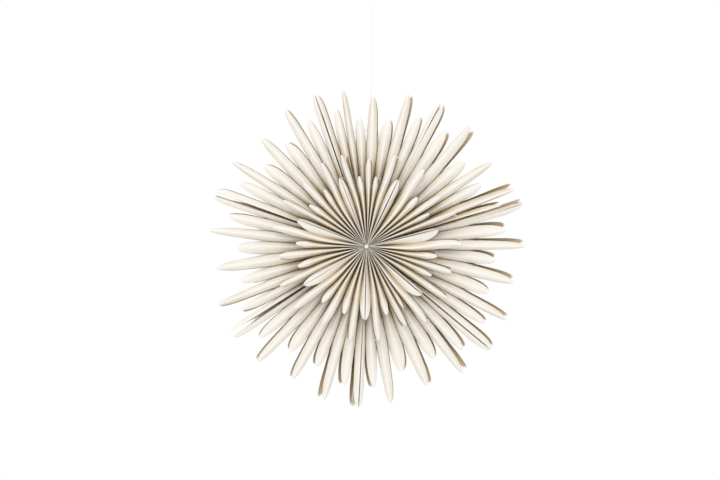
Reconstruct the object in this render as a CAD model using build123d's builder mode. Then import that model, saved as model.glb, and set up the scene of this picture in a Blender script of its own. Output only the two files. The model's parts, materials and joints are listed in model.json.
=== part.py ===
from build123d import *
from math import cos, radians, sin, sqrt, tan
import os

# A folding paper star hung on a thread.
# Millimetres, +Z up. The fan axis runs along Y through the origin and the front faces -Y.
# Angles run anticlockwise from +X, seen from the front.

# ---- paper ----
PAPER = 0.25  # sheet thickness
GLUE_SLIT = 0.06  # half the slit between two petals joined along a glue line
HOLLOW_START_R = 16.0  # nearer the centre the two walls of a petal lie together
HOLLOW_BEND_R = 44.0
BLUNT = 0.5  # width left across the cut end of a lobe
MARGIN = 2.0  # how far a cutting shape runs past what it cuts

# ---- main layer: folded tubes of long, pointed and short, round petals ----
MAIN_WIDTH = 19.5  # fold to glue line
MAIN_CELLS = 8  # glue line spacings across one fan
MAIN_START_R = 8.0
SPEAR_NOTCH_R = 186.0  # where the front and back lobes of a pointed petal part
ROUND_NOTCH_R = 209.0
SEAM_TIP_R = 300.0  # the half petal glued to a side sheet
SPEAR_OUTER_TIP_R = 295.0
SPEAR_MIDDLE_TIP_R = 281.0
ROUND_OUTER_TIP_R = 262.0
ROUND_MIDDLE_TIP_R = 242.0

# ---- small layers, one in front of the main layer and one behind it ----
SMALL_WIDTH = 15.5
SMALL_CELLS = 6
SMALL_START_R = 6.5
SMALL_NOTCH_R = 93.0
SMALL_LONG_OUTER_TIP_R = 177.0
SMALL_LONG_MIDDLE_TIP_R = 164.0
SMALL_SHORT_TIP_R = 132.0
SMALL_SEAM_TIP_R = 137.0
LAYER_GAP = 1.0
SMALL_MID_Y = MAIN_WIDTH + LAYER_GAP + SMALL_WIDTH
HALF_DEPTH = MAIN_WIDTH + LAYER_GAP + 2 * SMALL_WIDTH

# ---- fans: (angle of the seam at the clockwise edge, how far the middle petal leans) ----
FANS = [
    (14.6, -4.8),
    (63.0, 1.6),
    (108.75, -0.2),
    (161.0, 1.4),
    (213.0, 0.75),
    (267.5, 0.0),
    (320.0, -1.05),
]
FULL_TURN = 360.0
# half the opening angle of the seam at the clockwise edge of each fan
SEAM_OPENING = [0.10, 0.05, 0.05, 0.55, 0.55, 0.10, 0.35]
SHEET_FACE = 0.45  # seam plane to the petal side of a side sheet
SHEET_START_R = 22.0
HALF_PETAL_START_R = 26.0
HALF_PETAL_BEND_R = 52.0
STRIP_THICKNESS = 0.25
STRIP_START_R = 30.0
STRIP_LENGTH = 60.0

# ---- binding thread through the centre ----
SPINE_R = 0.5
SPINE_KNOT_R = 2.0
SPINE_LENGTH = 2 * HALF_DEPTH + 4.0

# ---- hanging thread ----
THREAD_R = 0.4
THREAD_X = 8.4
# the loop that passes through both glue lines of the top middle petal and closes above it
ANCHOR_BOTTOM_Z = 181.0
ANCHOR_SHOULDER_Z = 217.5
ANCHOR_TOP_Z = 226.0
ANCHOR_HALF_WIDTH = 13.6
ANCHOR_BEND_R = 2.5
KNOT_R = 1.4
KNOT_GAP = 0.15
HOLE_R = 1.1
HOLE_SPAN = 24.0
LOOP_KNOT_Z = 510.0
LOOP_HALF_WIDTH = 8.0
LOOP_HALF_HEIGHT = 20.0

os.makedirs("parts", exist_ok=True)


def cross_plane(angle, radius, y_mid):
    """Plane square to a radius: local x anticlockwise, local y towards the front."""
    c, s = cos(radians(angle)), sin(radians(angle))
    return Plane(origin=(radius * c, y_mid, radius * s), x_dir=(-s, 0, c), z_dir=(c, 0, s))


def rib_plane(angle, y_mid, shift=0.0):
    """Plane that holds the fan axis and a radius: local x outward, local y towards the front."""
    c, s = cos(radians(angle)), sin(radians(angle))
    return Plane(
        origin=(-shift * s, y_mid, shift * c), x_dir=(c, 0, s), z_dir=(s, 0, -c)
    )


def half_section(radius, notch_r, half_angle, width):
    """Half the spread of a tube and the depth from its glue line to its fold, at a radius."""
    spread = min(radius, notch_r) * tan(radians(half_angle)) - GLUE_SLIT
    return spread, sqrt(width**2 - spread**2)


def lobe_edge(notch_r, tip_r, depth, is_round, side):
    """The cut edge of a lobe, from the notch on the glue line to the tip near the fold."""
    length = tip_r - notch_r
    tip = (tip_r, side * (depth - BLUNT))
    if is_round:
        Spline(
            (notch_r, 0),
            (notch_r + 0.55 * length, side * 0.14 * depth),
            (notch_r + 0.88 * length, side * 0.46 * depth),
            tip,
            tangents=[(1, side * 0.06), (0, side)],
        )
    else:
        ThreePointArc((notch_r, 0), (notch_r + 0.55 * length, side * 0.34 * depth), tip)
    return tip


def mouth(angle, y_mid, notch_r, tip_r, depth, is_round):
    """The opening between the two lobes of a petal, on the plane of its folds."""
    with BuildSketch(rib_plane(angle, y_mid)) as opening:
        with BuildLine():
            front = lobe_edge(notch_r, tip_r, depth, is_round, 1)
            back = lobe_edge(notch_r, tip_r, depth, is_round, -1)
            end = tip_r + MARGIN
            Polyline(front, (end, front[1]), (end, back[1]), back)
        make_face()
    return opening.sketch


def whole_petal(angle, half_angle, y_mid, width, start_r, notch_r, tip_r, is_round):
    """A folded tube: a fold in front, a fold behind, and a glue line on each side."""
    spread, depth = half_section(notch_r, notch_r, half_angle, width)
    opening = mouth(angle, y_mid, notch_r, tip_r, depth, is_round)
    reach = spread + MARGIN
    with BuildPart() as petal:
        for radius in (start_r, notch_r, tip_r):
            spread, depth = half_section(radius, notch_r, half_angle, width)
            with BuildSketch(cross_plane(angle, radius, y_mid)):
                Polygon((spread, 0), (0, depth), (-spread, 0), (0, -depth), align=None)
        loft(ruled=True)
        for radius in (HOLLOW_START_R, HOLLOW_BEND_R, notch_r, tip_r):
            spread, depth = half_section(radius, notch_r, half_angle, width)
            inside = 1 - PAPER * sqrt(spread**2 + depth**2) / (spread * depth)
            x, y = spread * inside, depth * inside
            with BuildSketch(cross_plane(angle, radius, y_mid)):
                Polygon((x, 0), (0, y), (-x, 0), (0, -y), align=None)
        loft(ruled=True, mode=Mode.SUBTRACT)
        extrude(opening, amount=reach, both=True, mode=Mode.SUBTRACT)
    return petal.part


def seam_petal(angle, half_angle, y_mid, width, notch_r, tip_r, side):
    """Half a petal, its two cut edges glued to a side sheet. side is 1 anticlockwise of it."""
    radii = (HALF_PETAL_START_R, HALF_PETAL_BEND_R, notch_r, tip_r)
    face = SHEET_FACE + 2 * GLUE_SLIT
    spread, depth = half_section(notch_r, notch_r, half_angle, width)
    opening = mouth(angle, y_mid, notch_r, tip_r, depth, False)
    reach = spread + MARGIN
    with BuildPart() as petal:
        for radius in radii:
            spread, depth = half_section(radius, notch_r, half_angle, width)
            edge = depth * (1 - face / spread)
            with BuildSketch(cross_plane(angle, radius, y_mid)):
                Polygon((side * spread, 0), (side * face, edge), (side * face, -edge), align=None)
        loft(ruled=True)
        for radius in radii:
            spread, depth = half_section(radius, notch_r, half_angle, width)
            inside = 1 - PAPER * sqrt(spread**2 + depth**2) / (spread * depth)
            x, y = spread * inside, depth * (inside - face / spread)
            with BuildSketch(cross_plane(angle, radius, y_mid)):
                Polygon((side * x, 0), (side * face, y), (side * face, -y), align=None)
        loft(ruled=True, mode=Mode.SUBTRACT)
        extrude(opening, amount=reach, both=True, mode=Mode.SUBTRACT)
    return petal.part


class Fan:
    """One fan between two seams: where its glue lines stand once it is opened."""

    def __init__(self, number):
        self.start, self.lean = FANS[number]
        self.end = FANS[(number + 1) % len(FANS)][0]
        if self.end < self.start:
            self.end += FULL_TURN
        self.start += SEAM_OPENING[number]
        self.end -= SEAM_OPENING[(number + 1) % len(FANS)]

    def angle(self, share):
        """The angle at a share of the way across, with the lean greatest in the middle."""
        bulge = 4 * share * (1 - share)
        return self.start + (self.end - self.start) * share + self.lean * bulge

    def cell(self, index, cells):
        """(middle angle, half angle) of the petal whose fold is numbered index."""
        low, high = self.angle((index - 0.5) / cells), self.angle((index + 0.5) / cells)
        return (low + high) / 2, (high - low) / 2

    def seam_cell(self, cells, side):
        """(angle of the side sheet, half angle of the half petal on it)."""
        if side > 0:
            return self.start, self.angle(0.5 / cells) - self.start
        return self.end, self.end - self.angle(1 - 0.5 / cells)


def keep(name, pieces):
    """Writes the solids of one node to its STEP file."""
    with BuildPart() as node:
        add(pieces)
    node.part.label = name
    export_step(node.part, f"parts/{name}.step")


def spear_petals(fan):
    """The pointed petals of the main layer, with the two half petals on the side sheets."""
    petals = []
    for index in range(2, MAIN_CELLS, 2):
        is_middle = index == MAIN_CELLS // 2
        tip_r = SPEAR_MIDDLE_TIP_R if is_middle else SPEAR_OUTER_TIP_R
        angle, half_angle = fan.cell(index, MAIN_CELLS)
        shape = (MAIN_WIDTH, MAIN_START_R, SPEAR_NOTCH_R, tip_r, False)
        petals.append(whole_petal(angle, half_angle, 0, *shape))
    for side in (1, -1):
        angle, half_angle = fan.seam_cell(MAIN_CELLS, side)
        shape = (MAIN_WIDTH, SPEAR_NOTCH_R, SEAM_TIP_R, side)
        petals.append(seam_petal(angle, half_angle, 0, *shape))
    return petals


def round_petals(fan):
    """The shorter, round petals between the pointed ones."""
    petals = []
    for index in range(1, MAIN_CELLS, 2):
        is_outer = index in (1, MAIN_CELLS - 1)
        tip_r = ROUND_OUTER_TIP_R if is_outer else ROUND_MIDDLE_TIP_R
        angle, half_angle = fan.cell(index, MAIN_CELLS)
        shape = (MAIN_WIDTH, MAIN_START_R, ROUND_NOTCH_R, tip_r, True)
        petals.append(whole_petal(angle, half_angle, 0, *shape))
    return petals


def small_petals(fan, y_mid):
    """A small layer, long and short petals in turn, with half petals on the side sheets."""
    petals = []
    for index in range(1, SMALL_CELLS):
        if index % 2 == 0:
            tip_r = SMALL_SHORT_TIP_R
        elif index == SMALL_CELLS // 2:
            tip_r = SMALL_LONG_MIDDLE_TIP_R
        else:
            tip_r = SMALL_LONG_OUTER_TIP_R
        angle, half_angle = fan.cell(index, SMALL_CELLS)
        shape = (SMALL_WIDTH, SMALL_START_R, SMALL_NOTCH_R, tip_r, True)
        petals.append(whole_petal(angle, half_angle, y_mid, *shape))
    for side in (1, -1):
        angle, half_angle = fan.seam_cell(SMALL_CELLS, side)
        shape = (SMALL_WIDTH, SMALL_NOTCH_R, SMALL_SEAM_TIP_R, side)
        petals.append(seam_petal(angle, half_angle, y_mid, *shape))
    return petals


def sheet_lobes(width, notch_r, tip_r):
    """Front and back lobe of a flat sheet, beyond the notch."""
    with BuildSketch() as lobes:
        for side in (1, -1):
            with BuildLine():
                tip = lobe_edge(notch_r, tip_r, width, False, side)
                Polyline(tip, (tip_r, side * width), (notch_r, side * width), (notch_r, 0))
            make_face()
    return lobes.sketch


def side_sheet(angle, side):
    """The flat sheet that closes a fan. side is 1 where the petals are anticlockwise of it."""
    shift = side * (SHEET_FACE - PAPER / 2)
    main_length = SPEAR_NOTCH_R - SHEET_START_R
    small_length = SMALL_NOTCH_R - SHEET_START_R
    main_lobes = sheet_lobes(MAIN_WIDTH, SPEAR_NOTCH_R, SEAM_TIP_R)
    small_lobes = sheet_lobes(SMALL_WIDTH, SMALL_NOTCH_R, SMALL_SEAM_TIP_R)
    with BuildPart() as sheet:
        with BuildSketch(rib_plane(angle, 0, shift)):
            with Locations((SHEET_START_R, 0)):
                Rectangle(main_length, 2 * MAIN_WIDTH, align=(Align.MIN, Align.CENTER))
                Rectangle(small_length, 2 * HALF_DEPTH, align=(Align.MIN, Align.CENTER))
            add(main_lobes)
            with Locations((0, SMALL_MID_Y), (0, -SMALL_MID_Y)):
                add(small_lobes)
        extrude(amount=PAPER / 2, both=True)
    return sheet.part


def thread_hole():
    """The punched hole through both glue lines of the top middle petal."""
    with BuildPart() as hole:
        with Locations(Plane((THREAD_X, 0, ANCHOR_BOTTOM_Z), x_dir=(0, 1, 0), z_dir=(1, 0, 0))):
            Cylinder(HOLE_R, HOLE_SPAN)
    return hole.part


# ---- the seven fans ----
hole = thread_hole()
for number in range(len(FANS)):
    fan = Fan(number)
    name = f"fan_{number + 1}"
    spears, rounds = spear_petals(fan), round_petals(fan)
    if number == 1:
        spears = [petal - hole for petal in spears]
        rounds = [petal - hole for petal in rounds]
    keep(f"{name}_spear_petals", spears)
    keep(f"{name}_round_petals", rounds)
    keep(f"{name}_front_petals", small_petals(fan, -SMALL_MID_Y))
    keep(f"{name}_back_petals", small_petals(fan, SMALL_MID_Y))
    keep(f"{name}_side_sheet_a", [side_sheet(fan.start, 1)])
    keep(f"{name}_side_sheet_b", [side_sheet(fan.end, -1)])

# ---- adhesive strips between the side sheets, one in each seam ----
for number, (seam, _) in enumerate(FANS):
    with BuildPart() as strip:
        with BuildSketch(rib_plane(seam, 0)):
            with Locations((STRIP_START_R, 0)):
                Rectangle(STRIP_LENGTH, MAIN_WIDTH, align=(Align.MIN, Align.CENTER))
        extrude(amount=STRIP_THICKNESS / 2, both=True)
    keep(f"seam_strip_{number + 1}", [strip.part])

# ---- binding thread through the centre, a knot at each end ----
with BuildPart() as spine_thread:
    with Locations(Plane.XZ):
        Cylinder(SPINE_R, SPINE_LENGTH)
    for end in (1, -1):
        with Locations((0, end * SPINE_LENGTH / 2, 0)):
            Sphere(SPINE_KNOT_R)
spine_thread.part.label = "spine_thread"
export_step(spine_thread.part, "parts/spine_thread.step")

# ---- loop through the top middle petal, with the knot the hanging thread leaves from ----
anchor_left, anchor_right = THREAD_X - ANCHOR_HALF_WIDTH, THREAD_X + ANCHOR_HALF_WIDTH
with BuildPart() as anchor_loop:
    with BuildLine(Plane.XZ) as anchor_path:
        FilletPolyline(
            (anchor_right, ANCHOR_BOTTOM_Z),
            (anchor_right, ANCHOR_SHOULDER_Z),
            (THREAD_X, ANCHOR_TOP_Z),
            (anchor_left, ANCHOR_SHOULDER_Z),
            (anchor_left, ANCHOR_BOTTOM_Z),
            radius=ANCHOR_BEND_R,
            close=True,
        )
    with BuildSketch(Plane(anchor_path.line @ 0, z_dir=anchor_path.line % 0)):
        Circle(THREAD_R)
    sweep()
anchor_loop.part.label = "anchor_loop"
export_step(anchor_loop.part, "parts/anchor_loop.step")

anchor_top = ANCHOR_TOP_Z + THREAD_R
with BuildPart() as anchor_knot:
    with Locations((THREAD_X, 0, anchor_top + KNOT_GAP + KNOT_R)):
        Sphere(KNOT_R)
anchor_knot.part.label = "anchor_knot"
export_step(anchor_knot.part, "parts/anchor_knot.step")

# ---- hanging thread and the loop at its top ----
thread_bottom = anchor_top + 2 * KNOT_GAP + 2 * KNOT_R
thread_top = LOOP_KNOT_Z - KNOT_R - KNOT_GAP
with BuildPart() as hanging_thread:
    with Locations((THREAD_X, 0, thread_bottom)):
        Cylinder(
            THREAD_R, thread_top - thread_bottom, align=(Align.CENTER, Align.CENTER, Align.MIN)
        )
hanging_thread.part.label = "hanging_thread"
export_step(hanging_thread.part, "parts/hanging_thread.step")

with BuildPart() as loop_knot:
    with Locations((THREAD_X, 0, LOOP_KNOT_Z)):
        Sphere(KNOT_R)
loop_knot.part.label = "loop_knot"
export_step(loop_knot.part, "parts/loop_knot.step")

loop_z = LOOP_KNOT_Z + KNOT_R + KNOT_GAP + THREAD_R + LOOP_HALF_HEIGHT
with BuildPart() as hanging_loop:
    with BuildLine(Plane.XZ) as loop_path:
        EllipticalCenterArc(
            (THREAD_X, loop_z), LOOP_HALF_WIDTH, LOOP_HALF_HEIGHT, arc_size=FULL_TURN
        )
    with BuildSketch(Plane(loop_path.line @ 0, z_dir=loop_path.line % 0)):
        Circle(THREAD_R)
    sweep()
hanging_loop.part.label = "hanging_loop"
export_step(hanging_loop.part, "parts/hanging_loop.step")
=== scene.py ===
import json
import math
import random

import bpy
import numpy as np
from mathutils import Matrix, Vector

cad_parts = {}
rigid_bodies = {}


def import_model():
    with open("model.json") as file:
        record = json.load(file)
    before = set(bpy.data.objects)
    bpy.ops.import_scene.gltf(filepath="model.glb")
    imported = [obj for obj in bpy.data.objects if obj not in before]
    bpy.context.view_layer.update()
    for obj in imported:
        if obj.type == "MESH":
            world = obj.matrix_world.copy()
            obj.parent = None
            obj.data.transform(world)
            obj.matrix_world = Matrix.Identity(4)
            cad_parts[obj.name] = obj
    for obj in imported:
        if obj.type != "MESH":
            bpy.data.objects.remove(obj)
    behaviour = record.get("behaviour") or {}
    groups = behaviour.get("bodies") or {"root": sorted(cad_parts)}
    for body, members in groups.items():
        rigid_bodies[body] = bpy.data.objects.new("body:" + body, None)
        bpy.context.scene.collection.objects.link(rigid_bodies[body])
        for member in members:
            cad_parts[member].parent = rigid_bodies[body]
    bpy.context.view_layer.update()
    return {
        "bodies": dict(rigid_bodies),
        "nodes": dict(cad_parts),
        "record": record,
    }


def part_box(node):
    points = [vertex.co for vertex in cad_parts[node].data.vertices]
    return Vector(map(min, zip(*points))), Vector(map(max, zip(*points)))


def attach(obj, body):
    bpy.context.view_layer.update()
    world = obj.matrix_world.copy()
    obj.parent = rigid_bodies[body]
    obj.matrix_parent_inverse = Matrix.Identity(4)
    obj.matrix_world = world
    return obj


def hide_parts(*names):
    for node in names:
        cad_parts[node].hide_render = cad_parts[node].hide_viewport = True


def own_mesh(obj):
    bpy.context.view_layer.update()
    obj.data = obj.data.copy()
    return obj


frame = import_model()

# Lengths are in metres and angles in radians, except where a comment says degrees.
# Angles are taken about the fan axis, anticlockwise as seen from the front.

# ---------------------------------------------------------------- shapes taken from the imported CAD

MAIN_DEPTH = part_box("fan_1_round_petals")[1].y  # middle of the star to a main fold
SMALL_MIDDLE = sum(end.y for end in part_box("fan_1_back_petals")) / 2  # and to the middle of a small layer
FAN_NAMES = sorted(n for n in frame["bodies"] if n.startswith("fan_"))

WELD_STEPS = 1e5         # per metre: points that round to the same step are one point
PETAL_TIP = 0.0015       # the outermost part of a petal that its direction is read from
SHEET_TIP = 0.001        # and of a side sheet
ROOT_SHARE = 0.25        # the share of a petal's length that is too crowded to measure angles on
LEAST_HALF = 0.015       # a petal that is narrower than this on one side has no half there


def loose_parts(obj):
    """The vertex positions of each separate solid of a CAD node."""
    mesh = obj.data
    co = np.zeros(len(mesh.vertices) * 3)
    mesh.vertices.foreach_get("co", co)
    co = co.reshape(-1, 3)
    _, same = np.unique(np.round(co * WELD_STEPS).astype(np.int64), axis=0, return_inverse=True)
    same = same.reshape(-1)
    edges = np.zeros(len(mesh.edges) * 2, np.int64)
    mesh.edges.foreach_get("vertices", edges)
    edges = same[edges.reshape(-1, 2)]
    label = np.arange(same.max() + 1)
    while True:
        low = np.minimum(label[edges[:, 0]], label[edges[:, 1]])
        new = label.copy()
        np.minimum.at(new, edges[:, 0], low)
        np.minimum.at(new, edges[:, 1], low)
        new = new[new]
        if (new == label).all():
            break
        label = new
    label = label[same]
    return [co[label == k] for k in np.unique(label)]


def radii(co):
    """How far each point is from the fan axis."""
    return np.hypot(co[:, 0], co[:, 2])


def around(angle, middle):
    """angle moved by whole turns to within half a turn of middle."""
    return middle + (angle - middle + math.pi) % (2 * math.pi) - math.pi


def tip_angle(co, reach):
    """The angle that the outermost points of a solid stand at."""
    radius = radii(co)
    tip = co[radius > radius.max() - reach].mean(0)
    return math.atan2(tip[2], tip[0])


def petals_of(node):
    """What the solids of a petal node say about each petal.

    low and high are the angles of its edges from its fold, 0 where a side sheet takes its half.
    width is that of its paper, from the fold to the line where it is glued.
    """
    found = []
    for co in loose_parts(frame["nodes"][node]):
        radius = radii(co)
        axis = tip_angle(co, PETAL_TIP)
        off = around(np.arctan2(co[:, 2], co[:, 0]), axis) - axis
        far = radius > ROOT_SHARE * radius.max()
        low, high = off[far].min(), off[far].max()
        low = low if low < -LEAST_HALF else 0.0
        high = high if high > LEAST_HALF else 0.0
        widest = np.argmax(np.abs(off) * far)
        found.append(
            {
                "axis": axis,
                "low": low,
                "high": high,
                "whole": low < 0 < high,
                "notch_r": radius[widest] * math.cos(off[widest]),
                "tip_r": radius.max(),
                "y_mid": (co[:, 1].min() + co[:, 1].max()) / 2,
                "width": (co[:, 1].max() - co[:, 1].min()) / 2,
            }
        )
    # the paper of a layer is equally wide in all its petals
    width = max(p["width"] for p in found)
    for p in found:
        p["width"] = width
    return found


def spread_of(petal):
    """Angle from the middle of a petal to its edge."""
    return (petal["high"] - petal["low"]) / (2 if petal["whole"] else 1)


def longest_of(petals):
    """The petal that reaches out farthest."""
    return max(petals, key=lambda p: p["tip_r"])


# ---------------------------------------------------------------- how the opened star sits
# Degrees, anticlockwise, for each fold of a fan from its clockwise seam to its anticlockwise one.
# How far the long folds have settled from even spacing. The seams themselves stay put.
SETTLE = {
    "fan_1": (0, -1.6, -2.1, -0.2, 0, 0.7, 2.1, 0.8, 0),
    "fan_2": (0, -1.6, -0.9, -1.4, 0, 0, -0.1, -1.2, 0),
    "fan_3": (0, -0.2, -1.1, -0.4, 0, 0.7, 0.3, -1.0, 0),
    "fan_4": (0, -0.6, -1.3, -1.8, 0, 0.5, 0.8, 0.1, 0),
    "fan_5": (0, -0.1, -0.9, -0.4, 0, -0.3, 0, 0.2, 0),
    "fan_6": (0, -1.3, -1.9, -1.3, 0, 0.7, 0.6, -0.6, 0),
    "fan_7": (0, 0.5, -0.7, -0.5, 0, 0.6, -0.2, -1.0, 0),
}
# The same for the folds of the small front layer.
FRONT_SETTLE = {
    "fan_1": (-0.8, 1.0, 0.5, 0, 1.8, 0.7, 1.6),
    "fan_2": (1.6, 1.3, 2.2, 0.9, 1.7, 3.0, 2.4),
    "fan_3": (2.4, 1.4, 0.9, 0, 1.3, -0.6, -2.8),
    "fan_4": (-2.8, -2.9, -2.4, -1.8, 0, -0.1, -1.3),
    "fan_5": (-1.3, -2.5, -0.6, -0.1, 1.9, 0.9, 1.2),
    "fan_6": (1.2, 0.9, 0.9, 3.1, -1.2, -3.0, -0.7),
    "fan_7": (-0.7, -1.6, -2.3, -3.4, -3.6, -3.0, -0.8),
}
# How far the root of each front fold stands anticlockwise of its tip: the seams crowd the roots together.
ROOT_TURN = {
    "fan_1": (0, 0.2, 1.0, 0, -2.8, -4.5, 0),
    "fan_2": (0, 3.5, 1.2, -1.0, -2.8, -4.0, 0),
    "fan_3": (0, 4.2, 2.5, 1.5, -1.0, -1.2, 0),
    "fan_4": (0, 4.6, 1.6, -1.0, -2.4, -2.2, 0),
    "fan_5": (0, 4.5, 1.6, -2.4, -1.6, -1.6, 0),
    "fan_6": (0, 3.0, 1.0, -1.0, 0, -3.4, 0),
    "fan_7": (0, 1.6, 2.4, 0, -2.0, -5.0, 0),
}
# How far each long fold's back lobe stands anticlockwise of its front lobe.
TWIST = {
    "fan_1": (2.5, 1.6, 2.2, 0.7, 0, -0.6, -2.4, -1.8, -1.4),
    "fan_2": (-1.4, -1.4, -2.0, -0.9, -0.6, 0.4, 0, -0.9, -0.6),
    "fan_3": (-0.6, -0.3, -0.7, -0.6, -1.0, -0.7, 0, -0.2, -0.8),
    "fan_4": (-0.8, -1.0, 0, 0, 0.3, 0.4, 0.8, 0.8, 0),
    "fan_5": (0, -1.0, -1.4, -1.3, -1.8, -1.6, -2.4, -2.6, -2.8),
    "fan_6": (-2.8, -1.4, 0, 0.8, 2.0, 1.6, 2.8, 2.2, 2.0),
    "fan_7": (2.0, 1.4, 1.9, 1.4, 2.0, 2.5, 2.1, 2.9, 2.5),
}
ROOT_R = 0.06            # the roots of the front folds are fully turned out to here
ROOT_RUN = 0.09          # and less and less over this much more

# Seam N is the clockwise edge of fan N. Lengths again.
# How far each side of a seam stands off at the front of the main layer, beyond the CAD's opening: near the
# middle of the star and at its rim. Less than nothing shuts it.
SEAM_GAP = {
    1: (-0.0004, -0.001), 2: (0.0011, -0.0016), 3: (0.0009, 0.0008), 4: (0.0006, 0.0008),
    5: (0.0009, 0.0010), 6: (0.0004, 0.0004), 7: (0.0013, -0.0005),
}
# How far each side of a seam stands off in the small layers.
SMALL_SEAM_GAP = {1: 0.0006, 2: 0.0008, 3: 0.0005, 4: 0.0006, 5: 0.00035, 6: 0.0007, 7: 0.0009}
# How far the free ends of the two main lobes at each seam have bent anticlockwise, clockwise one first.
SEAM_LEAN = {
    1: (0.0012, 0.006), 2: (-0.0042, -0.0004), 3: (0, 0.0002), 4: (-0.0002, 0.0003),
    5: (0.0002, 0.001), 6: (0, 0.0002), 7: (0.0006, 0.0004),
}
# How much wider than the CAD's the two small half petals at each seam have become by their glue lines,
# as a share of their width, clockwise one first. Less than nothing is narrower.
SEAM_WIDENING = {
    1: (0.5, -0.35), 2: (-0.2, 0.2), 3: (0.2, 0.2), 4: (-0.35, 0.5),
    5: (0.4, 0.4), 6: (0.35, 0.35), 7: (0.45, -0.35),
}
SEAM_ROOT_R = 0.05       # out to here a gap grows from nothing, in the main layer to SEAM_GAP's first value
RIM_R = 0.28             # and there it comes to the second value here
THROUGH_R = 0.235        # past here it begins to open right through, front to back
THROUGH_RUN = 0.04       # and has done so this much farther out
LEAN_R = 0.186           # past here the sheets on either side of it start to lean
LEAN_RUN = 0.114         # up to the whole of their lean
STAND_OFF = 0.00005      # a shut seam still has this much on each side


def smooth(t):
    """Rises evenly from 0 to 1 as t does, without a kink at either end."""
    t = np.clip(t, 0, 1)
    return t * t * (3 - 2 * t)


class Edge:
    """One edge of a fan: side is 1 for the clockwise one and -1 for the anticlockwise one."""

    def __init__(self, side, seam, sheet_angle, opening):
        which = 1 if side > 0 else 0
        self.side = side
        self.opening = opening
        self.seam_angle = sheet_angle - side * opening
        self.gap = SEAM_GAP[seam]
        self.small_gap = SMALL_SEAM_GAP[seam]
        self.lean = SEAM_LEAN[seam][which]
        self.widening = SEAM_WIDENING[seam][which]

    def widened(self, radius, notch_r):
        """How many times the CAD's width a small half petal has at this edge."""
        return 1 + self.widening * smooth(radius / notch_r)

    def stand_off(self, radius, forward, crest, layer):
        """How far a sheet stands from the middle of the seam: open at the front, shut behind."""
        if layer == "small":
            return self.small_gap * np.clip(radius / SEAM_ROOT_R, 0, 1)
        ahead = np.clip(0.5 + forward / (2 * crest), 0, 1)
        ahead = np.maximum(ahead, smooth((radius - THROUGH_R) / THROUGH_RUN))
        lean = self.side * self.lean * np.clip((radius - LEAN_R) / LEAN_RUN, 0, 1) ** 2
        gap = np.interp(radius, (0, SEAM_ROOT_R, RIM_R), (0, *self.gap))
        return ahead * np.maximum(self.opening * radius + gap, 0) + STAND_OFF + lean


def side_sheet_angle(fan_name, letter):
    """The angle at which the CAD's side sheet stands."""
    sheet = loose_parts(frame["nodes"][f"{fan_name}_side_sheet_{letter}"])[0]
    return tip_angle(sheet, SHEET_TIP)


def inner_folds(fan_name, kinds, middle):
    """The angles of a fan's folds between its two edges, in order."""
    petals = [p for kind in kinds for p in petals_of(f"{fan_name}_{kind}_petals")]
    return sorted(around(p["axis"], middle) for p in petals if p["whole"])


def read_fan(fan_name):
    """The angles of a fan's two edges, of its middle and of its folds, edges included."""
    start = side_sheet_angle(fan_name, "a")
    end = side_sheet_angle(fan_name, "b")
    while end < start:
        end += 2 * math.pi
    middle = (start + end) / 2
    return {
        "start": start,
        "end": end,
        "middle": middle,
        "long_folds": [start, *inner_folds(fan_name, ("spear", "round"), middle), end],
        "short_folds": [start, *inner_folds(fan_name, ("front",), middle), end],
    }


fans = {fan_name: read_fan(fan_name) for fan_name in FAN_NAMES}
for place_in_star, fan_name in enumerate(FAN_NAMES):
    fan = fans[fan_name]
    seam, next_seam = place_in_star + 1, (place_in_star + 1) % len(FAN_NAMES) + 1
    before = fans[FAN_NAMES[place_in_star - 1]]
    after = fans[FAN_NAMES[next_seam - 1]]
    # each edge has half of the opening of its seam
    opening = (fan["start"] - around(before["end"], fan["start"])) / 2
    next_opening = (around(after["start"], fan["end"]) - fan["end"]) / 2
    fan["edges"] = {
        1: Edge(1, seam, fan["start"], opening),
        -1: Edge(-1, next_seam, fan["end"], next_opening),
    }


def warp(points, fan_name):
    """Turns each point about the fan axis by the settling and twist at its place and depth."""
    fan = fans[fan_name]
    radius = radii(points)
    angle = around(np.arctan2(points[:, 2], points[:, 0]), fan["middle"])
    settle = np.interp(angle, fan["long_folds"], SETTLE[fan_name])
    twist = np.interp(angle, fan["long_folds"], TWIST[fan_name])
    front_settle = np.interp(angle, fan["short_folds"], FRONT_SETTLE[fan_name])
    root_turn = np.interp(angle, fan["short_folds"], ROOT_TURN[fan_name])
    front_settle = front_settle + root_turn * (1 - smooth((radius - ROOT_R) / ROOT_RUN))
    y = points[:, 1]
    back = np.clip((y + MAIN_DEPTH) / (2 * MAIN_DEPTH), 0, 1)
    front = np.clip((-y - MAIN_DEPTH) / (SMALL_MIDDLE - MAIN_DEPTH), 0, 1)
    angle = angle + np.radians(settle * (1 - front) + twist * back + front_settle * front)
    return np.column_stack((radius * np.cos(angle), y, radius * np.sin(angle)))


# ---------------------------------------------------------------- paper sheets

SHEET = 0.00025          # paper thickness
COLUMNS = 13             # points from a fold to the glue line
ROWS = 36                # and along a petal
BAND_COLUMNS = 3         # and across the band that joins two petals
COLUMN_CROWDING = 1.25   # how much closer together the columns of a petal are at its fold
SHEET_CROWDING = 1.3     # and those of a side sheet
START_R = 0.0035         # where a petal starts
SHEET_START_R = 0.022    # and a side sheet

# How suddenly the free end of a lobe closes, and how much narrower it has become by then.
BLUNTNESS = {"spear": 0.22, "round": 0.5, "small_spear": 0.17, "small_round": 0.42}
NARROWING = {"spear": 0.26, "round": -0.05, "small_spear": 0.06, "small_round": 0.05}
ROUND_NOTCH = 0.93       # the round lobes part from their neighbours a little sooner than the cut
LEAST_DEPTH = 0.35       # a fold drawn wide open is still this share of its paper's width deep

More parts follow.
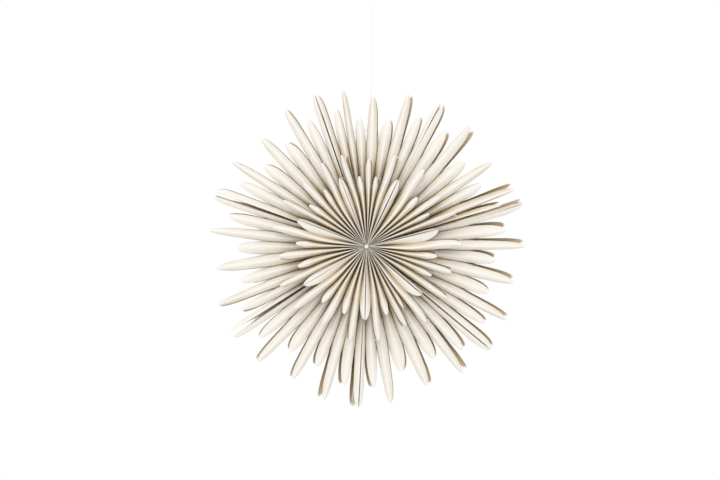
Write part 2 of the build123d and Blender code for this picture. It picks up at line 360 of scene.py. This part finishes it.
CREASE_SOFTNESS = 0.2    # the share of the way to the glue line over which a fold is rounded
BELLY = 0.3              # how much of its drop a bulging petal makes late, close to the glue line
BELLY_POWER = 2.4        # and how late
END_RISE = {"main": 0.45, "small": 0.3}  # how much of their drop the edges of an open end have lost
RISE_RUN = 0.5           # by this share of the free end
CENTRE_DROP = 0.12       # how much of its drop a fold has at the very centre
CENTRE_R = 0.003         # which is out to here
CENTRE_RUN = 0.02        # and it is complete this much farther out
GLUE_BAND = {"main": 0.0045, "small": 0.001}  # half the width of the band that joins two petals

TIP_UNEVEN = 0.0012      # how unevenly the tips reach out
SWAY = 0.0016            # how far a free end has bent to one side
LIFT = (-0.0012, 0.0016)  # and inwards or outwards
TIP_SHORT = 0.0008       # a lobe ends this much before the CAD's, at its fold
SHEET_LONG = 0.0012      # and a side sheet's lobe this much after
TUCK, TIP_TUCK = 0.0004, 0.0012  # how far behind its petal's crest a side sheet stays, and more at its tip
SHEET_GAP = 0.00004      # and how much nearer to the middle of the seam

# Painted shade in the folds, where less light reaches: 0 is the face of a petal, 1 the bottom of the
# tightest fold.
CUT_EDGE = 0.0014        # how far in from the cut edge the paper has a painted highlight
CREASE_WIDTH = 0.0005    # half the width of a creased fold, which stays light however tight the folds are
MOST_CREASE = 0.98       # and the most of the sheet that it can take up
TONE_POWER = 0.75        # how early on the way down a fold its tone deepens
LEAST_TONE = {"main": 0.12, "small": 0.15}  # at the bottom of a wide fold
TIGHTNESS = {"main": 2.0, "small": 0.9}  # paper width over half spread from which a fold's tone is deeper
TONE_PACE = {"main": 0.7, "small": 0.6}  # and how fast it deepens from there
CENTRE_TONE = 0.05       # how much of that a fold has at the very centre
CENTRE_TONE_R = 0.004    # which is out to here
CENTRE_TONE_RUN = 0.03   # and it has all of it this much farther out
SEAM_TONE = 0.4          # the small half petals at a seam lie flatter, with this share of the tone
END_FADE = {"main": 0.35, "small": 0.85}  # how much of its tone a fold loses along its free end
SMALL_FADE_RUN = 0.6     # the share of a small petal's free end that this takes
BAND_TONE = 0.4          # all over the band that joins two petals
SHEET_TONE = 0.26        # the deepest tone of a side sheet
SHEET_FADE = 0.6         # and how much of its tones it loses along its free end

# Painted shade on the inner faces, where little light reaches: 0 is the open end of a petal, 1 its darkest,
# deep within it.
INSIDE_START = 1.1       # a petal's goes down from this along its free end
INSIDE_FADE = 1.2        # by this much
BAND_INSIDE = 0.9


def layer_of(shape):
    """The layer that a lobe of that shape is in."""
    return "small" if shape.startswith("small") else "main"


def fold_profile(a):
    """How far a point at share a of the way from the fold to the glue line has dropped."""
    soft = CREASE_SOFTNESS
    crease = (np.sqrt(a * a + soft * soft) - soft) / (math.sqrt(1 + soft * soft) - soft)
    return (1 - BELLY) * crease + BELLY * a ** BELLY_POWER


def opened_depth(width, half_spread):
    """How deep a fold of that paper width is when its sheets are spread that far."""
    return np.sqrt(np.maximum(width ** 2 - half_spread ** 2, (LEAST_DEPTH * width) ** 2))


def lobe_end(a, notch_r, tip_r, shape):
    """Radius at which the cut edge crosses the sheet at share a from the fold."""
    return notch_r + (tip_r - notch_r) * np.clip(1 - a * a, 0, 1) ** BLUNTNESS[shape]


def edge_rows(start, end):
    """Radii from start to the cut edge, closer together towards the edge."""
    row = np.linspace(0, 1, ROWS)[:, None]
    return start + (end - start)[None, :] * (row * 0.5 + 0.5 * np.sin(row * math.pi / 2))


def edge_highlight_share(end, radius):
    """How much painted highlight the paper has by its cut edge: 1 on the edge and 0 where the paper has its
    own tone.
    """
    return np.clip(1 - (end[None, :] - radius) / CUT_EDGE, 0, 1)


def place(radius, out, forward, axis, y_mid):
    """Points at a radius along the petal, an anticlockwise offset and a depth towards the viewer."""
    c, s = math.cos(axis), math.sin(axis)
    return np.stack((radius * c - out * s, y_mid - forward, radius * s + out * c), axis=-1)


class Sheets:
    """Collects the sheets of one piece and makes one mesh of them."""

    def __init__(self):
        self.points, self.faces, self.count = [], [], 0
        self.shade = {"cut_edge_highlight": [], "painted_shade": [], "inside_shade": []}

    def add(self, grid, outward, cut_edge_highlight, painted_shade, inside_shade):
        """grid is rows x columns x 3; outward says which way the outer face looks."""
        rows, columns = grid.shape[:2]
        index = self.count + np.arange(rows * columns).reshape(rows, columns)
        quads = np.stack(
            (index[:-1, :-1], index[:-1, 1:], index[1:, 1:], index[1:, :-1]), axis=-1
        ).reshape(-1, 4)
        m, n = rows // 2, columns // 4
        normal = np.cross(grid[m, n + 1] - grid[m, n], grid[m + 1, n] - grid[m, n])
        if normal @ np.array(outward) < 0:
            quads = quads[:, ::-1]
        self.points.append(grid.reshape(-1, 3))
        self.faces.append(quads)
        self.count += rows * columns
        for name, values in (("cut_edge_highlight", cut_edge_highlight), ("painted_shade", painted_shade), ("inside_shade", inside_shade)):
            self.shade[name].append((np.zeros((rows, columns)) + values).reshape(-1))

    def piece(self, name, fan_name, outer, inner, thickness=SHEET):
        """One object of all the sheets, settled with its fan and given a thickness."""
        points = warp(np.concatenate(self.points), fan_name)
        faces = np.concatenate(self.faces)
        shade = {name: np.concatenate(values) for name, values in self.shade.items()}
        obj = smooth_object(name, points.tolist(), faces.tolist(), shade, (outer, inner))
        thick = obj.modifiers.new("paper", "SOLIDIFY")
        thick.thickness = thickness
        thick.offset = -1
        # the inner faces take the second material, which carries the painted shade of the hollows
        thick.material_offset = 1
        return obj


def smooth_object(name, points, faces, shade, materials):
    """A smooth-shaded object with values at its points that its materials read."""
    mesh = bpy.data.meshes.new(name)
    mesh.from_pydata(points, [], faces)
    mesh.polygons.foreach_set("use_smooth", [True] * len(faces))
    for shade_name, values in shade.items():
        attribute = mesh.attributes.new(shade_name, "FLOAT", "POINT")
        attribute.data.foreach_set("value", np.array(values, np.float32))
    for material in materials:
        mesh.materials.append(material)
    mesh.update()
    obj = bpy.data.objects.new(name, mesh)
    bpy.context.scene.collection.objects.link(obj)
    return obj


def fold_shade_depth(layer, width, half_spread, radius, free, a):
    """How deep the painted shade is at share a of the way from the fold to the glue line."""
    crease = np.clip(CREASE_WIDTH / half_spread, 0, MOST_CREASE)
    down = np.clip((a[None, :] - crease) / (1 - crease), 0, 1)
    tight = 1 - np.exp(-TONE_PACE[layer] * np.maximum(width / half_spread - TIGHTNESS[layer], 0))
    centre = smooth((radius - CENTRE_TONE_R) / CENTRE_TONE_RUN)
    tight = tight * (CENTRE_TONE + (1 - CENTRE_TONE) * centre)
    fade = END_FADE[layer] * (smooth(free / SMALL_FADE_RUN) if layer == "small" else free)
    return np.maximum(tight, LEAST_TONE[layer]) * down ** TONE_POWER * (1 - fade)


def add_petal(sheets, petal, shape, rng, fan_name):
    """Front and back sheet of one petal, or of a half one at a seam, and the bands at its glue lines."""
    layer = layer_of(shape)
    whole, notch_r, width, y_mid = petal["whole"], petal["notch_r"], petal["width"], petal["y_mid"]
    if shape == "round":
        notch_r = notch_r * ROUND_NOTCH
    half = np.linspace(0, 1, COLUMNS) ** COLUMN_CROWDING
    share = np.concatenate((-half[:0:-1], half)) if whole else half
    a = np.abs(share)
    side = 1 if whole or petal["high"] > 0 else -1
    edge = fans[fan_name]["edges"][side]
    axis, spread, narrowing = petal["axis"], spread_of(petal), NARROWING[shape]
    if not whole:
        axis, spread, narrowing = edge.seam_angle, spread + edge.opening, 0.0
    small_at_seam = layer == "small" and not whole

    tip_r = petal["tip_r"] + rng.uniform(-TIP_UNEVEN, TIP_UNEVEN)
    end = lobe_end(a, notch_r, tip_r, shape) - TIP_SHORT * (1 - a)
    radius = edge_rows(START_R, end)
    free = np.clip((radius - notch_r) / (tip_r - notch_r), 0, 1)
    half_spread = np.minimum(radius, notch_r) * math.tan(spread) * (1 - narrowing * free)
    if small_at_seam:
        half_spread = half_spread * edge.widened(radius, notch_r)
    depth = opened_depth(width, half_spread)
    drop = fold_profile(a)[None, :]
    # past the glue lines a lobe opens out and its two edges rise
    drop = drop * (1 - END_RISE[layer] * smooth(free / RISE_RUN))
    # at the very centre the folds are pressed so close that only their crests show
    drop = drop * (CENTRE_DROP + (1 - CENTRE_DROP) * smooth((radius - CENTRE_R) / CENTRE_RUN))
    band = GLUE_BAND[layer]
    # painted shade: deeper down into tight folds, and on the inner faces deeper away from the open end
    painted_shade = fold_shade_depth(layer, width, half_spread, radius, free, a)
    if small_at_seam:
        painted_shade = painted_shade * SEAM_TONE
    inside_shade = np.clip(INSIDE_START - INSIDE_FADE * free, 0, 1)
    for facing in (1, -1):
        sway = rng.uniform(-SWAY, SWAY) if whole else 0
        lift = rng.uniform(*LIFT)
        forward = facing * (band + (depth - band) * (1 - drop) + lift * free ** 2)
        out = side * half_spread * share[None, :]
        if not whole:
            clear = edge.stand_off(radius, forward, depth, layer)
            stays = 1 - share[None, :] * (1 - free)
            out = side * (clear * stays + half_spread * share[None, :])
        out = out + sway * free ** 2
        grid = place(radius, out, forward, axis, y_mid)
        sheets.add(grid, (0, -facing, 0), edge_highlight_share(end, radius), painted_shade, inside_shade)

    radius = edge_rows(START_R, np.full(BAND_COLUMNS, notch_r))
    forward = np.zeros_like(radius) + np.linspace(band, -band, BAND_COLUMNS)
    for band_side in (-1, 1) if whole else (side,):
        out = band_side * radius * math.tan(spread)
        if small_at_seam:
            out = out * edge.widened(radius, notch_r)
        grid = place(radius, out, forward, axis, y_mid)
        outward = (-band_side * math.sin(axis), 0, band_side * math.cos(axis))
        # the band has painted shade all over, on its outer and inner faces
        sheets.add(grid, outward, 0, BAND_TONE, BAND_INSIDE)


def add_side_sheet(sheets, edge, petals):
    """The lobes of a flat sheet that stands on a seam, cut like the petal and shape of each pair."""
    axis = edge.seam_angle
    outward = (edge.side * math.sin(axis), 0, -edge.side * math.cos(axis))
    half = np.linspace(0, 1, COLUMNS) ** SHEET_CROWDING
    for petal, shape in petals:
        layer = layer_of(shape)
        notch_r, tip_r = petal["notch_r"], petal["tip_r"]
        end = lobe_end(half, notch_r, tip_r, shape) + SHEET_LONG
        radius = edge_rows(SHEET_START_R, end)
        free = np.clip((radius - notch_r) / (tip_r - notch_r), 0, 1)
        half_spread = np.minimum(radius, notch_r) * math.tan(spread_of(petal))
        if layer == "small":
            half_spread = half_spread * edge.widened(radius, notch_r)
        crest = opened_depth(petal["width"], half_spread)
        # its folded edge stays just behind the crest of the half petal glued to it
        tucked = crest - TUCK - TIP_TUCK * free ** 2
        # painted shade on the side sheet, deeper away from its folded edge, where the seam's gap lies in
        # shade
        painted_shade = np.clip(half, 0, SHEET_TONE)[None, :] * (1 - SHEET_FADE * free)
        for facing in (1, -1):
            forward = facing * tucked * (1 - half)[None, :]
            out = edge.side * (edge.stand_off(radius, forward, crest, layer) - SHEET_GAP)
            grid = place(radius, out, forward, axis, petal["y_mid"])
            sheets.add(grid, outward, edge_highlight_share(end, radius), painted_shade, 1 - SHEET_FADE * free)


def with_edge_halves(petals, neighbours, fan_name):
    """Adds the half petal at a seam that is too narrow to have a hollow of its own in the CAD."""
    fan = fans[fan_name]
    whole = [p for p in petals if p["whole"]]
    halves = [p for p in petals if not p["whole"]]
    longest = longest_of(halves)

    def angle_of(petal):
        return around(petal["axis"], fan["middle"])

    if not any(p["high"] > 0 for p in halves):
        first = min(neighbours, key=angle_of)
        spread = angle_of(first) + first["low"] - fan["start"]
        halves.append({**longest, "axis": fan["start"], "low": 0.0, "high": spread})
    if not any(p["low"] < 0 for p in halves):
        last = max(neighbours, key=angle_of)
        spread = fan["end"] - angle_of(last) - last["high"]
        halves.append({**longest, "axis": fan["end"], "low": -spread, "high": 0.0})
    return whole + halves


# ---------------------------------------------------------------- materials


def new_material(name):
    """A material and its node tree, still empty."""
    material = bpy.data.materials.new(name)
    material.use_nodes = True
    material.node_tree.nodes.clear()
    return material, material.node_tree


def add_node(tree, kind, inputs=None, **options):
    """A shader node of that kind, with its options and its input values."""
    node = tree.nodes.new("ShaderNode" + kind)
    for name, value in options.items():
        setattr(node, name, value)
    for name, value in (inputs or {}).items():
        node.inputs[name].default_value = value
    return node


def join(source, output, target, target_input):
    """Links an output of one shader node to an input of another."""
    source.id_data.links.new(source.outputs[output], target.inputs[target_input])


def add_noise(tree, coordinates, output, **inputs):
    """Noise over the coordinates that a node gives out."""
    noise = add_node(tree, "TexNoise", inputs)
    join(coordinates, output, noise, "Vector")
    return noise


def add_range(tree, source, output, start, end, to_start, to_end):
    """Stretches the values from start to end over to_start to to_end."""
    inputs = {"From Min": start, "From Max": end, "To Min": to_start, "To Max": to_end}
    node = add_node(tree, "MapRange", inputs)
    join(source, output, node, "Value")
    return node


def add_surface(tree, inputs, colour, height, bump_inputs):
    """The surface of a material. height, and colour if it isn't in inputs, say a node and its output."""
    bump = add_node(tree, "Bump", bump_inputs)
    join(*height, bump, "Height")
    surface = add_node(tree, "BsdfPrincipled", inputs)
    if colour:
        join(*colour, surface, "Base Color")
    join(bump, "Normal", surface, "Normal")
    join(surface, "BSDF", add_node(tree, "OutputMaterial"), "Surface")


def paper(name, tones, attribute_name, seed):
    """Uncoated dyed paper: fibres and faint mottling, with a painted highlight along its cut edges and the
    painted shade that the named attribute gives.
    """
    material, tree = new_material(name)
    shift = add_node(tree, "Mapping", {"Location": (seed, seed * 0.7, seed * 1.3)})
    join(add_node(tree, "TexCoord"), "Object", shift, "Vector")
    fibre = add_noise(tree, shift, "Vector", Scale=1400, Detail=6, Roughness=0.65, Distortion=1.2)
    mottle = add_noise(tree, shift, "Vector", Scale=45, Detail=4)

    total = add_node(tree, "Math", operation="ADD", use_clamp=True)
    join(add_node(tree, "Attribute", attribute_name=attribute_name), "Fac", total, 0)
    join(add_range(tree, mottle, "Fac", 0.3, 0.7, -0.012, 0.02), "Result", total, 1)
    ramp = add_node(tree, "ValToRGB")
    stops = ramp.color_ramp.elements
    while len(stops) < len(tones):
        stops.new(0.5)
    for stop, (position, colour) in zip(stops, tones):
        stop.position = position
        stop.color = (*colour, 1)
    join(total, "Value", ramp, "Fac")

    shade = add_node(tree, "Mix", {"Factor": 1}, data_type="RGBA", blend_type="MULTIPLY")
    join(ramp, "Color", shade, "A")
    join(add_range(tree, fibre, "Fac", 0.35, 0.65, 0.965, 1.02), "Result", shade, "B")
    # a painted highlight along the cut edges, where they catch the light
    edge_highlight = add_node(tree, "Mix", {"B": (0.96, 0.95, 0.925, 1)}, data_type="RGBA")
    join(add_node(tree, "Attribute", attribute_name="cut_edge_highlight"), "Fac", edge_highlight, "Factor")
    join(shade, "Result", edge_highlight, "A")

    add_surface(
        tree, {"Roughness": 0.82, "Specular IOR Level": 0.25}, (edge_highlight, "Result"),
        (fibre, "Fac"), {"Strength": 0.25, "Distance": 0.00008},
    )
    return material


def twisted_thread(name, colour, groove_shade):
    """Spun thread: the plies show as fine slanted bands, with painted shade in the grooves between them,
    and loose fibres.
    """
    material, tree = new_material(name)
    noise = add_noise(tree, add_node(tree, "TexCoord"), "Object", Scale=5200, Detail=3)
    ply = add_node(tree, "Attribute", attribute_name="ply")
    height = add_node(tree, "Math", operation="MULTIPLY")
    join(noise, "Fac", height, 0)
    join(ply, "Fac", height, 1)
    # the colour is darker in the grooves between the plies: painted shade
    mix = add_node(tree, "Mix", {"A": (*groove_shade, 1), "B": (*colour, 1)}, data_type="RGBA")
    join(ply, "Fac", mix, "Factor")
    add_surface(
        tree, {"Roughness": 0.55, "Sheen Weight": 0.4}, (mix, "Result"),
        (height, "Value"), {"Strength": 0.5, "Distance": 0.00005},
    )
    return material


def adhesive(name):
    """Thin adhesive tissue: slightly glossy, with pressed-in bubbles."""
    material, tree = new_material(name)
    bubbles = add_node(tree, "TexVoronoi", {"Scale": 420})
    join(add_node(tree, "TexCoord"), "Object", bubbles, "Vector")
    tint = add_range(tree, bubbles, "Distance", 0, 1, 0.72, 0.86)
    colour = add_node(tree, "CombineColor", {"Blue": 0.7})
    join(tint, "Result", colour, "Red")
    join(tint, "Result", colour, "Green")
    add_surface(
        tree, {"Roughness": 0.4}, (colour, "Color"),
        (bubbles, "Distance"), {"Strength": 0.3, "Distance": 0.0001},
    )
    return material


# The paper's own colour on the face of a petal, darkening with painted shade down into the tightest folds.
PAPER_AND_SHADE_TONES = (
    (0.0, (0.885, 0.857, 0.806)),
    (0.15, (0.81, 0.746, 0.628)),
    (0.40, (0.61, 0.507, 0.348)),
    (0.70, (0.29, 0.22, 0.135)),
    (1.0, (0.07, 0.049, 0.027)),
)
# Painted shade on the inner faces of the same paper, from the open end of a petal to the darkest, deep
# within.
INNER_SHADE_TONES = (
    (0.0, (0.54, 0.43, 0.28)),
    (0.5, (0.46, 0.355, 0.225)),
    (1.0, (0.36, 0.27, 0.165)),
)
petal_papers = {
    kind: paper("petal_paper_" + kind, PAPER_AND_SHADE_TONES, "painted_shade", seed)
    for kind, seed in (("spear", 0.0), ("round", 3.1), ("front", 5.7), ("back", 8.3))
}
sheet_paper = paper("side_sheet_paper", PAPER_AND_SHADE_TONES, "painted_shade", 11.9)
inside_shade_paper = paper("paper_inside_shade", INNER_SHADE_TONES, "inside_shade", 14.2)
# the second colour of each thread is the painted shade in its grooves
thread_material = twisted_thread("hanging_thread_fibre", (0.86, 0.9, 0.95), (0.62, 0.68, 0.76))
binding_material = twisted_thread("binding_thread_fibre", (0.93, 0.92, 0.89), (0.74, 0.71, 0.66))
adhesive_material = adhesive("adhesive_strip")

# ---------------------------------------------------------------- petals and side sheets

SMALL_SPEAR_SHARE = 0.86  # a small lobe at least this long beside the longest is a spear
body_of_node = {n: b for b, ns in frame["record"]["behaviour"]["bodies"].items() for n in ns}


def stand_in(obj, node):
    """The object takes the place of a CAD node and moves with its body."""
    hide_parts(node)
    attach(obj, body_of_node[node])


def close_with_fan(obj):
    """Gives the object a mesh of its own."""
    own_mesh(obj)


for fan_name in FAN_NAMES:
    for kind, outer_paper in petal_papers.items():
        node = f"{fan_name}_{kind}_petals"
        sheets = Sheets()
        rng = random.Random(node)
        petals = petals_of(node)
        if kind == "spear":
            petals = with_edge_halves(petals, petals_of(f"{fan_name}_round_petals"), fan_name)
        spear_r = SMALL_SPEAR_SHARE * longest_of(petals)["tip_r"]
        for petal in petals:
            shape = kind
            if kind in ("front", "back"):
                shape = "small_spear" if petal["tip_r"] > spear_r else "small_round"
            add_petal(sheets, petal, shape, rng, fan_name)
        obj = sheets.piece(f"{fan_name}_{kind}_paper", fan_name, outer_paper, inside_shade_paper)
        stand_in(obj, node)
        close_with_fan(obj)

for fan_name in FAN_NAMES:
    petals = [(longest_of(petals_of(f"{fan_name}_spear_petals")), "spear")]
    for kind in ("front", "back"):
        halves = [p for p in petals_of(f"{fan_name}_{kind}_petals") if not p["whole"]]
        petals.append((longest_of(halves), "small_round"))
    for letter, side, angle_name in (("a", 1, "start"), ("b", -1, "end")):
        sheets = Sheets()
        add_side_sheet(sheets, fans[fan_name]["edges"][side], petals)
        obj = sheets.piece(f"{fan_name}_sheet_{letter}", fan_name, sheet_paper, inside_shade_paper)
        stand_in(obj, f"{fan_name}_side_sheet_{letter}")
        close_with_fan(obj)

# ---------------------------------------------------------------- threads and knots

PLIES = 3
PLY_TURN = 0.0022        # the length of thread in which its plies turn once
PLY_GROOVE = 0.14        # how deep the grooves between them are, as a share of the thread's radius
RING = 12                # points round a thread
ASKEW = (0.31, 0.87, 0.38)  # a direction that no thread starts along
THREAD_POINTS = 900
LOOP_POINTS = 220
SIDE_POINTS = 60         # on each straight stretch of the anchor loop
SPINE_POINTS = 260
KNOT_POINTS = 72
SMOOTHINGS = 14          # times that the corners of the anchor loop are rounded
LOOP_NECK = 0.45         # the least width of the hanging loop's drop, as a share of its widest
SHOULDER = 0.42          # how far up its upper half the anchor loop is straight
KNOT_SIZE = 0.62         # the reach of a knot's path, as a share of half its box
KNOT_THREAD = 0.95       # the thread is pulled thinner in it
SPINE_R = 0.0005
SPINE_END = 0.001        # how far inside its box the binding thread ends
SPINE_KNOT_SIZE = 0.0013
SPINE_KNOT_END = 0.002   # how far inside the box the middle of its knots is


def cord(name, path, radius, material, closed):
    """Sweeps a ply section along a path of points, twisting it as it goes."""
    path = np.array(path, float)
    count = len(path)
    ahead = np.roll(path, -1, 0) - np.roll(path, 1, 0)
    if not closed:
        ahead[0], ahead[-1] = path[1] - path[0], path[-1] - path[-2]
    ahead /= np.linalg.norm(ahead, axis=1)[:, None]
    step = np.linalg.norm(np.diff(path, axis=0), axis=1)
    run = np.concatenate(([0], np.cumsum(step)))
    up = np.cross(ahead[0], ASKEW)
    up /= np.linalg.norm(up)
    turns = round(run[-1] / PLY_TURN)
    points, ply = [], []
    for k in range(count):
        up = up - ahead[k] * (up @ ahead[k])
        up /= np.linalg.norm(up)
        across = np.cross(ahead[k], up)
        spin = 2 * math.pi * turns * run[k] / run[-1]
        for n in range(RING):
            phi = 2 * math.pi * n / RING
            wave = math.cos(PLIES * phi - spin)
            r = radius * (1 - PLY_GROOVE + PLY_GROOVE * wave)
            points.append((path[k] + r * (math.cos(phi) * up + math.sin(phi) * across)).tolist())
            ply.append(0.5 + 0.5 * wave)
    faces = []
    for k in range(count if closed else count - 1):
        for n in range(RING):
            m, j = (n + 1) % RING, (k + 1) % count
            faces.append((k * RING + n, k * RING + m, j * RING + m, j * RING + n))
    if not closed:
        faces.append(tuple(range(RING))[::-1])
        faces.append(tuple((count - 1) * RING + n for n in range(RING)))
    return smooth_object(name, points, faces, {"ply": ply}, (material,))


def in_plane(x, y, z):
    """A path of points that all have the same y."""
    return np.column_stack((x, np.full(len(x), y), z))


def knot_path(centre, size):
    """A trefoil: the cord of an overhand knot pulled tight."""
    t = np.linspace(0, 2 * math.pi, KNOT_POINTS, endpoint=False)
    x = (np.sin(t) + 2 * np.sin(2 * t)) / 3
    z = (np.cos(t) - 2 * np.cos(2 * t)) / 3
    y = -np.sin(3 * t) / 2
    return np.array(centre) + size * np.column_stack((x, y, z))


def box_middle(node):
    """The middle of a CAD node's box and half its size."""
    low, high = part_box(node)
    return (low + high) / 2, (high - low) / 2


thread_r = box_middle("hanging_thread")[1].x


def hanging_line():
    middle, half = box_middle("hanging_thread")
    line = np.linspace(-half.z, half.z, THREAD_POINTS)
    return in_plane(np.full(THREAD_POINTS, middle.x), middle.y, middle.z + line)


def drop_loop():
    """Round at the top. Its two strands draw together above the knot, like a drop."""
    middle, half = box_middle("hanging_loop")
    t = np.linspace(0, 2 * math.pi, LOOP_POINTS, endpoint=False)
    reach_x, reach_z = half.x - thread_r, half.z - thread_r
    draw = LOOP_NECK + (1 - LOOP_NECK) * (0.5 + 0.5 * np.cos(t)) ** 0.5
    return in_plane(middle.x + reach_x * np.sin(t) * draw, middle.y, middle.z + reach_z * np.cos(t))


def house_loop():
    """Square below, round the folds it holds, and coming together at its top, with round corners."""
    middle, half = box_middle("anchor_loop")
    reach_x, reach_z = half.x - thread_r, half.z - thread_r
    corners = [(1, -1), (1, SHOULDER), (0, 1), (-1, SHOULDER), (-1, -1)]
    outline = []
    for (x, z), (next_x, next_z) in zip(corners, corners[1:] + corners[:1]):
        for share in np.linspace(0, 1, SIDE_POINTS, endpoint=False):
            across, up = x + (next_x - x) * share, z + (next_z - z) * share
            outline.append((middle.x + reach_x * across, middle.z + reach_z * up))
    outline = np.array(outline)
    for _ in range(SMOOTHINGS):
        outline = (np.roll(outline, 1, 0) + 2 * outline + np.roll(outline, -1, 0)) / 4
    return in_plane(outline[:, 0], middle.y, outline[:, 1])


hanging = cord("thread_hanging", hanging_line(), thread_r, thread_material, False)
stand_in(hanging, "hanging_thread")
loop = cord("thread_loop", drop_loop(), thread_r, thread_material, True)
stand_in(loop, "hanging_loop")
anchor = cord("thread_anchor_loop", house_loop(), thread_r, thread_material, True)
stand_in(anchor, "anchor_loop")
close_with_fan(anchor)

for node, name in (("anchor_knot", "knot_anchor"), ("loop_knot", "knot_loop")):
    middle, half = box_middle(node)
    knot = cord(name, knot_path(middle, half.x * KNOT_SIZE), thread_r * KNOT_THREAD, thread_material, True)
    stand_in(knot, node)

spine_half = box_middle("spine_thread")[1].y
line = np.linspace(-spine_half + SPINE_END, spine_half - SPINE_END, SPINE_POINTS)
path = np.column_stack((np.zeros(SPINE_POINTS), line, np.zeros(SPINE_POINTS)))
spine = cord("spine_binding", path, SPINE_R, binding_material, False)
stand_in(spine, "spine_thread")
for end, name in ((-1, "spine_knot_front"), (1, "spine_knot_back")):
    path = knot_path((0, end * (spine_half - SPINE_KNOT_END), 0), SPINE_KNOT_SIZE)
    tied = cord(name, path, SPINE_R, binding_material, True)
    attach(tied, body_of_node["spine_thread"])

# ---------------------------------------------------------------- adhesive strips

STRIP = 0.00022          # thickness
STRIP_ROWS = 24
STRIP_COLUMNS = 12


def strip_piece(node, name, fan_name):
    """A thin strip that follows the twist of the sheets it holds, and the angle it stands at."""
    low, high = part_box(node)
    co = loose_parts(frame["nodes"][node])[0]
    centre = co.mean(0)
    axis = math.atan2(centre[2], centre[0])
    rows = np.linspace(radii(co).min(), radii(co).max(), STRIP_ROWS)
    radius, y = np.meshgrid(rows, np.linspace(low.y, high.y, STRIP_COLUMNS), indexing="ij")
    sheets = Sheets()
    outward = (-math.sin(axis), 0, math.cos(axis))
    sheets.add(place(radius, np.zeros_like(radius), -y, axis, 0.0), outward, 0, 0, 0)
    return sheets.piece(name, fan_name, adhesive_material, adhesive_material, STRIP), axis


for node in sorted(n for n in frame["nodes"] if n.startswith("seam_strip")):
    number = int(node[-1])
    obj, axis = strip_piece(node, f"strip_{number}", f"fan_{number}")
    stand_in(obj, node)
    close_with_fan(obj)

# ---------------------------------------------------------------- floor, light, camera

FLOOR_R = 1.15
FLOOR_Z = -0.62
WHITE = (1, 1, 1, 1)
FILL = 0.885             # how bright the even light from all round is
FRAME_WIDTH = 1.341      # what the picture spans at the star
DISTANCE = 5.0
AIM_X, AIM_Z = -0.0121, 0.0121  # what the middle of the picture looks at
SENSOR = 36              # millimetres, as is the focal length

floor_material, tree = new_material("floor_pale")
grain = add_node(tree, "TexNoise", {"Scale": 60})
floor_inputs = {"Base Color": (0.86, 0.86, 0.85, 1), "Roughness": 0.9}
add_surface(tree, floor_inputs, None, (grain, "Fac"), {"Strength": 0.05})
bpy.ops.mesh.primitive_circle_add(
    vertices=96, radius=FLOOR_R, fill_type="NGON", location=(0, 0, FLOOR_Z)
)
floor = bpy.context.object
floor.name = "floor"
floor.data.materials.append(floor_material)


def studio_world():
    """An even light from all round, which the camera sees as plain white."""
    world = bpy.data.worlds.new("studio")
    world.use_nodes = True
    tree = world.node_tree
    tree.nodes.clear()
    seen = add_node(tree, "Background", {"Color": WHITE, "Strength": 1.0})
    fill = add_node(tree, "Background", {"Color": WHITE, "Strength": FILL})
    mix = add_node(tree, "MixShader")
    join(add_node(tree, "LightPath"), "Is Camera Ray", mix, "Fac")
    join(fill, "Background", mix, 1)
    join(seen, "Background", mix, 2)
    join(mix, "Shader", add_node(tree, "OutputWorld"), "Surface")
    return world


def soft_light(name, location, size, power):
    """A square light that faces the star."""
    data = bpy.data.lights.new(name, "AREA")
    data.shape = "SQUARE"
    data.size = size
    data.energy = power
    obj = bpy.data.objects.new(name, data)
    obj.location = location
    obj.rotation_euler = (-Vector(location)).to_track_quat("-Z", "Y").to_euler()
    bpy.context.scene.collection.objects.link(obj)


bpy.context.scene.world = studio_world()
soft_light("key", (-0.9, -2.6, 1.9), 1.6, 23)
soft_light("front", (0.6, -3.6, 0.2), 2.2, 14.5)

camera_data = bpy.data.cameras.new("camera")
camera_data.sensor_width = SENSOR
camera_data.lens = SENSOR * DISTANCE / FRAME_WIDTH
camera = bpy.data.objects.new("camera", camera_data)
camera.location = (AIM_X, -DISTANCE, AIM_Z)
camera.rotation_euler = (math.pi / 2, 0, 0)
bpy.context.scene.collection.objects.link(camera)
bpy.context.scene.camera = camera
bpy.context.scene.view_settings.view_transform = "Standard"

bpy.context.view_layer.update()
